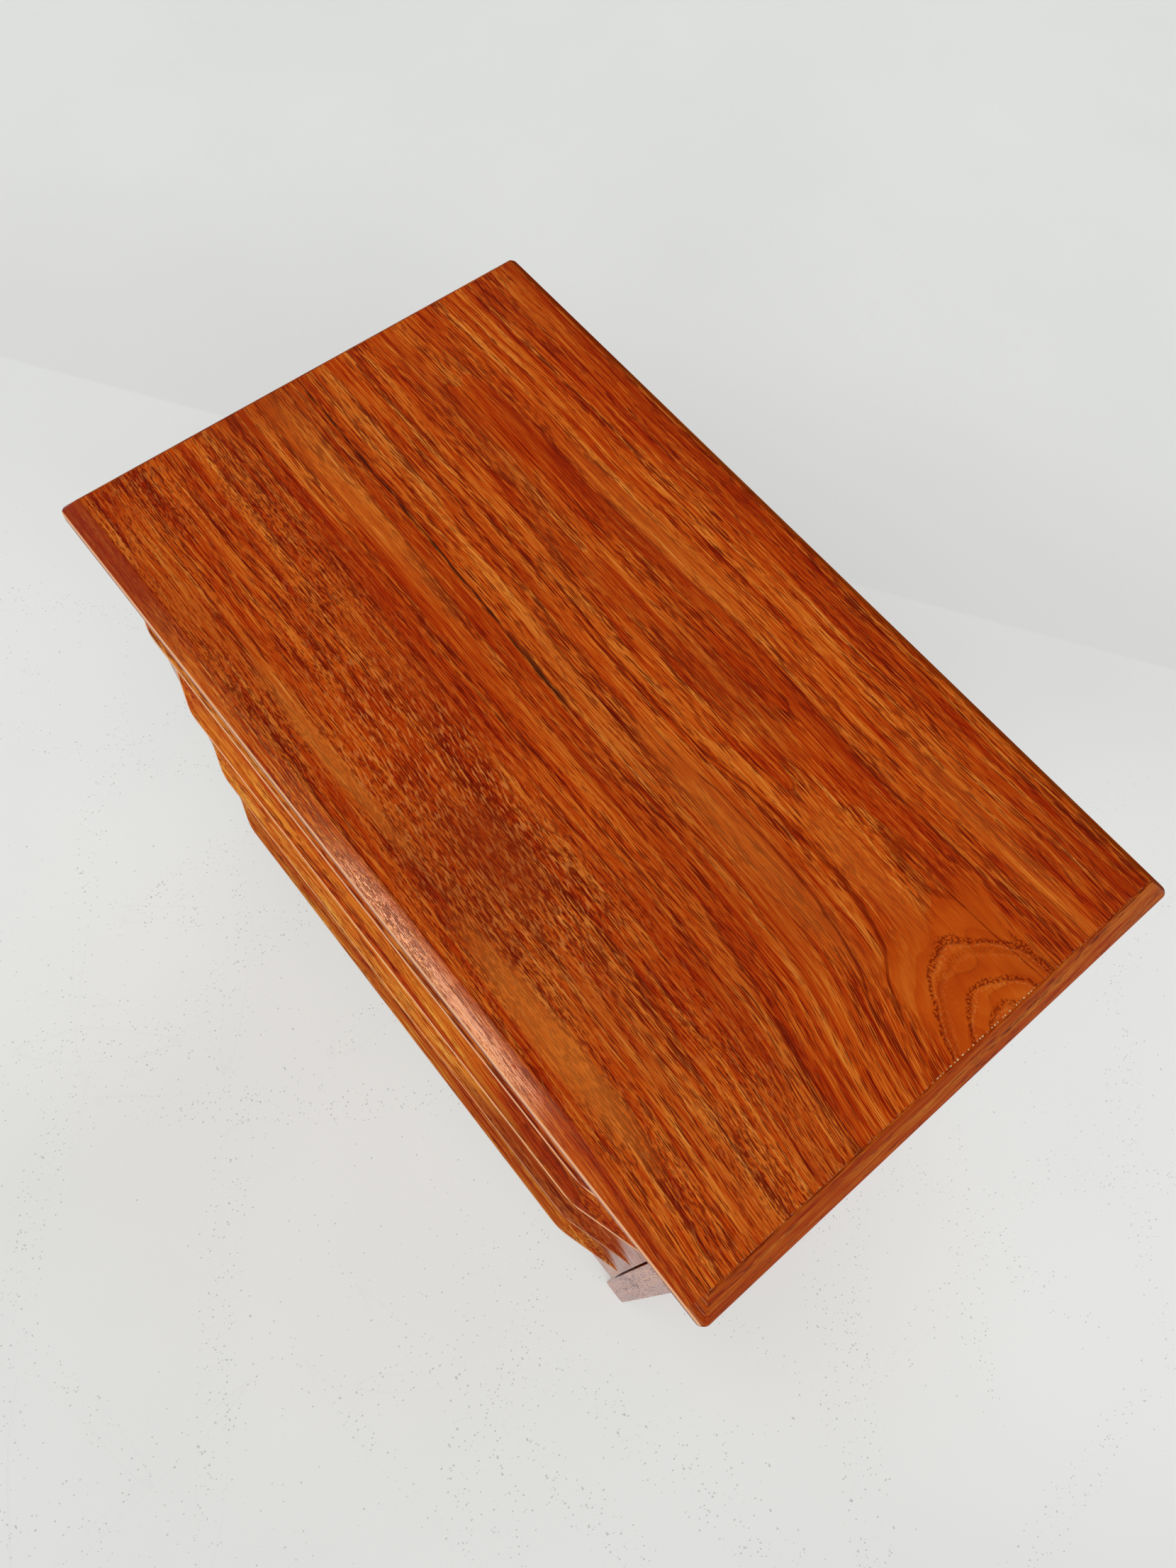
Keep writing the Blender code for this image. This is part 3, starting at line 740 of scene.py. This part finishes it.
def build_top():
    """The board, very slightly uneven, and its edge strips."""
    low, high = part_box("top_panel")
    columns, rows = TOP_COLUMNS, TOP_ROWS
    corner_low = Vector((low.x - TOP_OVERLAP, low.y - TOP_OVERLAP, low.z))
    corner_high = Vector((high.x + TOP_OVERLAP, high.y + TOP_OVERLAP, high.z))
    shape = bmesh.new()
    grid = []
    for i in range(columns + 1):
        column = []
        for j in range(rows + 1):
            u, v = i / columns, j / rows
            x = corner_low.x + u * (corner_high.x - corner_low.x)
            y = corner_low.y + v * (corner_high.y - corner_low.y)
            inside = min(1.0, 12 * min(u, v, 1 - u, 1 - v))
            wave = noise.noise(Vector((x * 9, y * 14, 0.0))) * TOP_SWELL * inside
            column.append(shape.verts.new((x, y, corner_high.z + wave)))
        grid.append(column)
    for i in range(columns):
        for j in range(rows):
            shape.faces.new((grid[i][j], grid[i + 1][j], grid[i + 1][j + 1], grid[i][j + 1]))
    rim = [grid[i][0] for i in range(columns)]
    rim += [grid[columns][j] for j in range(rows)]
    rim += [grid[i][rows] for i in range(columns, 0, -1)]
    rim += [grid[0][j] for j in range(rows, 0, -1)]
    under = [shape.verts.new((v.co.x, v.co.y, corner_low.z)) for v in rim]
    for i in range(len(rim)):
        j = (i + 1) % len(rim)
        shape.faces.new((rim[j], rim[i], under[i], under[j]))
    shape.faces.new(reversed(under))
    surface = make_top_teak("teak_top_board", low, high, TOP_GLOSS, TOP_ROUGHNESS)
    add_piece("top_board", shape, surface, "case", ["top_panel"])
    build_rim(corner_low, corner_high)


RIM_LOOKS = {
    "right": dict(tone=(0.68, 0.70, 0.70), gloss=0.04, red=0.5, contrast=0.6, pores=0.6, lines=0.3),
    "left": dict(tone=(0.75, 0.80, 0.80), gloss=0.20, red=0.4),
}
# The front and back strips are dimmed with painted shade, and the front one has a painted highlight
# along its outermost edge
RIM_FIGURED = {
    "front": dict(gloss=0.02, rough=0.12, light=0.80, left=0.75, fall=0.8, wear_and_highlight=0.85),
    "back": dict(gloss=0.0, rough=0.50, light=0.80, left=0.40, fall=-0.8),
}


def rounded(corners):
    """An outline with rounded corners, each given as (outward, up, reach of the rounding)."""
    points = []
    for i, (out, up, reach) in enumerate(corners):
        if not reach:
            points.append((out, up))
            continue
        here = Vector((out, up))
        before = (Vector(corners[i - 1][:2]) - here).normalized() * reach
        after = (Vector(corners[(i + 1) % len(corners)][:2]) - here).normalized() * reach
        for step in range(RIM_ROUND_STEPS + 1):
            share = step / RIM_ROUND_STEPS
            point = here + before * (1 - share) ** 2 + after * share**2
            points.append((point.x, point.y))
    return points


def rim_profile(width, height):
    """(outward, up) points round the edge strip: an upright foot, a long slope and a short flat."""
    return rounded(
        (
            (HAIRLINE, 0.0, 0.0),
            (width, 0.0, RIM_ROUND_BELOW),
            (width, RIM_FOOT, RIM_ROUND_MIDDLE),
            (RIM_FLAT, height, RIM_ROUND_ABOVE),
            (HAIRLINE, height, 0.0),
        )
    )


def build_rim(board_low, board_high):
    """Four edge strips with mitred ends and softly rounded outer corners."""
    width = board_low.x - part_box("top_lipping_left")[0].x
    profile = rim_profile(width, board_high.z - board_low.z)
    centre = (board_low + board_high) / 2
    half = (board_high - board_low) / 2
    strips = (
        ("front", Vector((1, 0, 0)), Vector((0, -1, 0)), half.x, half.y, "X", 11.0),
        ("right", Vector((0, 1, 0)), Vector((1, 0, 0)), half.y, half.x, "Y", 23.0),
        ("back", Vector((-1, 0, 0)), Vector((0, 1, 0)), half.x, half.y, "X", 37.0),
        ("left", Vector((0, -1, 0)), Vector((-1, 0, 0)), half.y, half.x, "Y", 41.0),
    )
    for name, run, out_way, half_run, reach, grain, seed in strips:
        rings = []
        for end in (-1, 1):
            steps = range(RIM_CORNER_STEPS + 1)
            for step in steps if end > 0 else reversed(steps):
                turn = math.radians(45 * step / RIM_CORNER_STEPS)
                ring = []
                for out, up in profile:
                    radius = RIM_CORNER_RADIUS * out / width
                    along = half_run + out - radius * (1 - math.sin(turn)) - HAIRLINE
                    away = reach + out - radius * (1 - math.cos(turn))
                    point = centre + run * (end * along) + out_way * away
                    ring.append((point.x, point.y, board_low.z + up))
                rings.append(ring)
        if name in RIM_LOOKS:
            surface = teak(f"teak_rim_{name}", grain, seed, **RIM_LOOKS[name])
        else:
            surface = make_top_teak(f"teak_rim_{name}", board_low, board_high, **RIM_FIGURED[name])
        node = f"top_lipping_{name}"
        add_piece(f"rim_{name}", loft(rings), surface, "case", [node])


# The case


def foot_outline(low, high):
    """A side panel's front view, as (x, z) points, with rounded lower corners."""
    radius = FOOT_RADIUS
    points = [(high.x, high.z), (low.x, high.z)]
    for centre, first in ((low.x + radius, 180), (high.x - radius, 270)):
        for step in range(FOOT_STEPS + 1):
            angle = math.radians(first + 90 * step / FOOT_STEPS)
            up = radius * (1 + math.sin(angle))
            points.append((centre + radius * math.cos(angle), low.z + up))
    return points


def build_case():
    """Side panels, back and bottom, with the rails, screws and runners."""
    for name, seed in (("left", 51.0), ("right", 67.0)):
        low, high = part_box(f"side_panel_{name}")
        outline = foot_outline(low, high)
        shape = loft([[(x, y, z) for x, z in outline] for y in (low.y, high.y)])
        surface = teak(f"teak_side_{name}", "Z", seed, **SIDE_LOOKS)
        node = f"side_panel_{name}"
        add_piece(f"side_{name}", shape, surface, "case", [node], ARRIS)
    low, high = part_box("back_panel")
    surface = teak("teak_back", "Z", 83.0, tone=(0.90, 0.90, 0.90), rough=0.20)
    add_piece("back", board(low, high), surface, "case", ["back_panel"], BOX_ARRIS)

    birch = make_pale_wood("birch_bottom", "X", 5.0, (0.60, 0.42, 0.24), (0.42, 0.27, 0.13))
    low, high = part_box("case_bottom")
    add_piece("floor_board", board(low, high), birch, "case", ["case_bottom"], BOX_ARRIS)
    beech_x = make_pale_wood("beech_rails", "X", 8.0, (0.62, 0.40, 0.22), (0.45, 0.26, 0.13))
    steel = make_steel()
    for rail in ("top_rail_front", "top_rail_rear"):
        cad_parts[rail].data.materials[0] = beech_x
        for side in ("left", "right"):
            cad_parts[f"{rail}_screw_{side}"].data.materials[0] = steel
    beech_y = make_pale_wood("beech_runners", "Y", 9.0, (0.60, 0.38, 0.20), (0.42, 0.24, 0.11))
    for number in range(1, DRAWERS + 1):
        for side in ("left", "right"):
            node = f"runner_{number}_{side}"
            low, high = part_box(node)
            name = f"slide_rail_{number}_{side}"
            add_piece(name, board(low, high), beech_y, "case", [node], RUNNER_ARRIS)


# Drawers


def lip_plan(reach):
    """Half of the lip's plan, as (x, reach) from the middle to the end."""
    slope = reach / (LIP_HALF_LENGTH - LIP_HALF_STRAIGHT)
    points = [(LIP_HALF_STRAIGHT * share, reach) for share in (0.2, 0.5, 0.8)]
    for step in range(13):
        past = 2 * LIP_BEND * step / 12
        x = LIP_HALF_STRAIGHT - LIP_BEND + past
        points.append((x, reach - slope * past**2 / (4 * LIP_BEND)))
    start = points[-1]
    for step in range(1, 9):
        share = step / 8
        x = start[0] + (LIP_HALF_LENGTH - start[0]) * share
        points.append((x, start[1] * (1 - share)))
    return points


def front_ring(x, reach, full_reach, face, top, bottom, back):
    """The drawer front's outline at one place along its length."""
    share = reach / full_reach
    points = [(back, top), (face, top)]
    ramp = (LIP_DROP - LIP_TOP_FLAT) * share
    nose = LIP_NOSE / 2
    tip = nose * share
    for step in range(LIP_STEPS + 1):
        out = step / LIP_STEPS
        rise = ramp * (1 - out) ** RAMP_POWER
        points.append((face - (reach - tip) * out, top - LIP_DROP + rise))
    for step in range(1, NOSE_STEPS):
        angle = math.pi * step / NOSE_STEPS
        out = reach - tip + tip * math.sin(angle)
        points.append((face - out, top - LIP_DROP - nose * share * (1 - math.cos(angle))))
    for step in range(LIP_STEPS + 1):
        out = 1 - step / LIP_STEPS
        fall = LIP_NOSE + (LIP_ROOT - LIP_NOSE) * (1 - out) ** GRIP_POWER
        points.append((face - (reach - tip) * out, top - LIP_DROP - fall * share))
    points += [(face, bottom), (back, bottom)]
    return [(x, y, z) for y, z in points]


def make_front_teak(number, wear_and_highlight, dark, dark_from, seed, tone, gloss, **figure):
    """Teak for a drawer front: a painted highlight along its lip's edge, and darker to the right,
    partly darker wood and partly painted shade.
    """
    s = Surface(f"teak_front_{number}")
    x, y, z = s.place()
    low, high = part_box(f"drawer_{number}_front")
    face = high.y - FRONT_THICKNESS
    reach = face - low.y
    slope = reach / (LIP_HALF_LENGTH - LIP_HALF_STRAIGHT)
    taper = s.mul(s.sub(LIP_HALF_LENGTH, s.math("ABSOLUTE", x)), slope)
    inside = s.add(y, s.math("MINIMUM", taper, reach), -face)
    nose_top = high.z - LIP_DROP
    above = s.ramp(z, nose_top - 0.0020, nose_top - 0.0012)
    on_lip = s.ramp(y, face - 0.0004, face - 0.0015)
    edge = s.mul(s.ramp(inside, 0.0003, 0.0010, 1.0, 0.0), above, on_lip)
    streaks = s.noise(s.mul(x, 6.0), s.mul(y, 300.0), s.mul(z, 300.0), 1.0)
    start = s.add(x, s.mul(s.sub(streaks, 0.5), 0.15))
    darker = s.mul(s.ramp(start, dark_from, dark_from + 0.06), dark)

    colour, flecks, fibre = grained(s, "X", seed, tone, **figure)
    # Darker towards the right: partly darker wood, partly painted shade
    colour = s.mix(darker, colour, s.tone(colour, DARK_TONE))
    # Painted highlight: a pale line along the lip's edge
    colour = s.mix(s.mul(edge, wear_and_highlight), colour, ARRIS_HIGHLIGHT)
    return lacquer(s, colour, flecks, fibre, gloss, 0.08)


def build_front(number, surface):
    """A drawer front with its lip in one piece."""
    low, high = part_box(f"drawer_{number}_front")
    face = high.y - FRONT_THICKNESS
    reach = face - low.y
    half = lip_plan(reach) + [(high.x, 0.0)]
    stations = [(-x, r) for x, r in reversed(half)] + half
    rings = [front_ring(x, r, reach, face, high.z, low.z, high.y) for x, r in stations]
    add_piece(
        f"front_{number}",
        loft(rings),
        surface,
        f"drawer_{number}",
        [f"drawer_{number}_front"],
        BOX_ARRIS,
    )


# Each front has a painted highlight along its lip's edge, and a darker right-hand part that is partly
# darker wood and partly painted shade
FRONT_LOOKS = (
    dict(
        wear_and_highlight=0.8, dark=0.2, dark_from=0.12, seed=101.0, tone=(0.98, 1.15, 1.10),
        gloss=0.06, pores=1.2, lines=0.7, red=0.2,
    ),
    dict(
        wear_and_highlight=0.8, dark=0.45, dark_from=0.10, seed=118.0, tone=(0.94, 1.12, 0.80),
        gloss=0.06, pores=0.8, lines=0.5, red=0.3,
    ),
    dict(
        wear_and_highlight=0.35, dark=1.0, dark_from=0.07, seed=133.0, tone=(1.04, 1.75, 2.40),
        gloss=0.06, pores=0.8, lines=0.9, red=0.0,
    ),
    dict(
        wear_and_highlight=0.20, dark=0.3, dark_from=0.21, seed=149.0, tone=(0.82, 1.32, 1.90),
        gloss=0.06, pores=0.7, lines=0.9, red=0.0,
    ),
)


def build_drawers():
    """Four drawers with their boxes, and the dividers of the top one."""
    beech_y = make_pale_wood("beech_sides", "Y", 15.0, (0.64, 0.43, 0.25), (0.48, 0.29, 0.15))
    beech_x = make_pale_wood("beech_backs", "X", 17.0, (0.64, 0.43, 0.25), (0.48, 0.29, 0.15))
    birch = make_pale_wood("birch_ply", "X", 19.0, (0.66, 0.50, 0.32), (0.52, 0.36, 0.20))
    for number in range(1, DRAWERS + 1):
        body = f"drawer_{number}"
        build_front(number, make_front_teak(number, **FRONT_LOOKS[number - 1]))
        for side in ("left", "right"):
            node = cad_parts[f"{body}_side_{side}"]
            node.data.materials[0] = beech_y
            weld = node.modifiers.new("weld", "WELD")
            weld.merge_threshold = 0.00001
            soften(node, DRAWER_ARRIS)
        low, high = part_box(f"{body}_back")
        rear = f"{body}_rear"
        add_piece(rear, board(low, high), beech_x, body, [f"{body}_back"], DRAWER_ARRIS)
        low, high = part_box(f"{body}_bottom")
        base = f"{body}_base"
        add_piece(base, board(low, high), birch, body, [f"{body}_bottom"], PLY_ARRIS)
    dividers = [("divider_long", beech_x)] + [(f"divider_short_{i}", beech_y) for i in (1, 2, 3)]
    for name, surface in dividers:
        node = f"drawer_1_{name}"
        low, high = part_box(node)
        add_piece(name, board(low, high), surface, "drawer_1", [node], DIVIDER_ARRIS)


# The studio


def build_floor():
    """A pale painted floor, a little scuffed, with painted shade in a band past the line where a wall
    behind the table would stand.
    """
    s = Surface("pale_floor")
    x, y, z = s.place()
    mottle = s.noise(s.mul(x, 3.0), s.mul(y, 3.0), 0.0, 3.0)
    colour = s.colours(mottle, ((0.3, 0.395, 0.405, 0.395), (0.7, 0.425, 0.435, 0.425)))
    past = s.sub(y, s.add(s.mul(x, WALL_SLOPE), WALL_LINE))
    # Painted shade of a wall's corner: a darker band that starts at the line and fades away behind it
    wall_corner_shade = s.mul(s.ramp(past, -0.004, 0.004), s.ramp(past, 0.0, 0.45, 1.0, 0.0))
    colour = s.mix(s.mul(wall_corner_shade, 0.55), colour, (0.340, 0.340, 0.335))

    wear_and_highlight = s.ramp(s.noise(s.mul(x, 2.6), s.mul(y, 2.6), 7.0, 2.0), 0.40, 0.62)
    trails = 0.0
    hairs = 0.0
    for turn_deg, seed in FLOOR_TRAILS:
        turn = math.radians(turn_deg)
        along = s.add(s.mul(x, math.cos(turn)), s.mul(y, math.sin(turn)))
        across = s.sub(s.mul(y, math.cos(turn)), s.mul(x, math.sin(turn)))
        across = s.add(across, s.mul(s.noise(s.mul(along, 2.0), 0.0, seed, 1.0), 0.10))
        trail = s.noise(s.mul(along, 1.6), s.mul(across, 13.0), seed, 1.0)
        trails = s.math("MAXIMUM", trails, s.ramp(trail, 0.60, 0.70))
        away = s.math("ABSOLUTE", s.sub(trail, 0.66))
        hairs = s.math("MAXIMUM", hairs, s.ramp(away, 0.0, 0.004, 1.0, 0.0))
    share = s.add(s.mul(trails, 0.40), s.mul(wear_and_highlight, 0.05), 0.004)
    fine = grit(s, x, y, 480.0, 0.34, share)
    coarse = grit(s, y, x, 230.0, 0.22, s.mul(share, 0.6))
    specks = s.math("MAXIMUM", fine, coarse)
    near = s.ramp(past, -0.45, -0.10, 1.0, 0.15)
    colour = s.mix(s.mul(specks, near, 0.85), colour, (0.11, 0.11, 0.10))
    colour = s.mix(s.mul(hairs, wear_and_highlight, s.mul(near, 0.14)), colour, (0.25, 0.25, 0.24))
    surface = s.finish(colour, 0.6, Specular_IOR_Level=0.1)
    s.shader.inputs["Emission Color"].default_value = (0.990, 1.0, 0.985, 1.0)
    # The floor glows evenly, and more in two soft patches beside the table: painted light
    glow = FLOOR_GLOW
    for centre, half_size, more in FLOOR_LIGHTER:
        glow = s.add(glow, s.mul(cloud(s, x, y, centre, half_size), more))
    s.feed(s.shader.inputs["Emission Strength"], glow)
    shape = bmesh.new()
    bmesh.ops.create_circle(shape, cap_ends=True, segments=96, radius=FLOOR_RADIUS)
    mesh = bpy.data.meshes.new("floor")
    shape.to_mesh(mesh)
    shape.free()
    mesh.materials.append(surface)
    floor = bpy.data.objects.new("floor", mesh)
    bpy.context.scene.collection.objects.link(floor)


def grit(s, x, y, scale, size, share):
    """Small irregular specks, scattered over the given share of the places they could have."""
    node = s.tree.nodes.new("ShaderNodeTexVoronoi")
    node.inputs["Scale"].default_value = 1.0
    rough = s.mul(s.sub(s.noise(s.mul(x, scale * 3), s.mul(y, scale * 3), 0.0, 1.0), 0.5), 0.45)
    s.feed(node.inputs["Vector"], s.join(s.mul(x, scale), s.mul(y, scale * 0.7), 0.0))
    lot = s.tree.nodes.new("ShaderNodeSeparateXYZ")
    s.feed(lot.inputs[0], node.outputs["Color"])
    there = s.ramp(s.sub(share, lot.outputs[0]), 0.0, 0.01)
    edge = s.sub(s.mul(lot.outputs[1], size), s.add(node.outputs["Distance"], rough))
    return s.mul(there, s.ramp(edge, -0.03, 0.03))


def build_world():
    """A pale room: bright at the horizon, quieter overhead."""
    world = bpy.data.worlds.new("studio")
    bpy.context.scene.world = world
    world.use_nodes = True
    tree = world.node_tree
    where = tree.nodes.new("ShaderNodeTexCoord")
    split = tree.nodes.new("ShaderNodeSeparateXYZ")
    band = tree.nodes.new("ShaderNodeValToRGB")
    tree.links.new(where.outputs["Generated"], split.inputs[0])
    tree.links.new(split.outputs[2], band.inputs[0])
    band.color_ramp.elements[0].position = 0.05
    band.color_ramp.elements[0].color = (0.85, 0.85, 0.84, 1.0)
    band.color_ramp.elements[1].position = 0.55
    band.color_ramp.elements[1].color = (0.24, 0.24, 0.24, 1.0)
    tree.links.new(band.outputs[0], tree.nodes["Background"].inputs[0])
    tree.nodes["Background"].inputs[1].default_value = 1.0


def add_sun(name, strength, softness_deg, towards):
    """A soft light from far away, shining in one direction."""
    light = bpy.data.lights.new(name, "SUN")
    light.energy = strength
    light.angle = math.radians(softness_deg)
    sun = bpy.data.objects.new(name, light)
    sun.rotation_mode = "QUATERNION"
    sun.rotation_quaternion = Vector(towards).to_track_quat("-Z", "Y")
    bpy.context.scene.collection.objects.link(sun)


def add_softbox(name, place, target, width, height, power, colour, lit):
    """A lamp that only shows as a reflection, and only in the lit pieces."""
    light = bpy.data.lights.new(name, "AREA")
    light.color = colour
    light.shape = "RECTANGLE"
    light.size = width
    light.size_y = height
    light.energy = power
    box = bpy.data.objects.new(name, light)
    box.location = place
    box.rotation_mode = "QUATERNION"
    box.rotation_quaternion = (Vector(target) - Vector(place)).to_track_quat("-Z", "Y")
    box.visible_camera = False
    box.visible_diffuse = False
    receivers = bpy.data.collections.new(f"{name}_lit")
    for piece in lit:
        receivers.objects.link(piece)
    box.light_linking.receiver_collection = receivers
    bpy.context.scene.collection.objects.link(box)


def build_lights():
    """A key from the right, a fill from the left, and the lamp in the front edge strip."""
    add_sun("key_right", 1.75, 66.0, (-0.75, 0.55, -1.0))
    add_sun("fill_left", 0.90, 70.0, (0.65, 0.90, -0.9))
    lit = [bpy.data.objects["rim_front"]]
    add_softbox("low_front", GLARE_FROM, GLARE_TO, 0.40, 0.12, 29.0, (1.0, 0.76, 0.50), lit)


def build_camera():
    """The camera, turned about its own axis."""
    data = bpy.data.cameras.new("camera")
    data.lens = CAMERA_LENS_MM
    data.sensor_width = SENSOR_MM
    camera = bpy.data.objects.new("camera", data)
    bpy.context.scene.collection.objects.link(camera)
    aim = (CAMERA_TARGET - CAMERA_PLACE).to_track_quat("-Z", "Y").to_matrix().to_4x4()
    roll = Matrix.Rotation(math.radians(CAMERA_ROLL_DEG), 4, "Z")
    camera.matrix_world = Matrix.Translation(CAMERA_PLACE) @ aim @ roll
    bpy.context.scene.camera = camera


bpy.context.scene.view_settings.view_transform = "Standard"
build_camera()
build_world()
build_floor()
build_top()
build_case()
build_drawers()
build_lights()
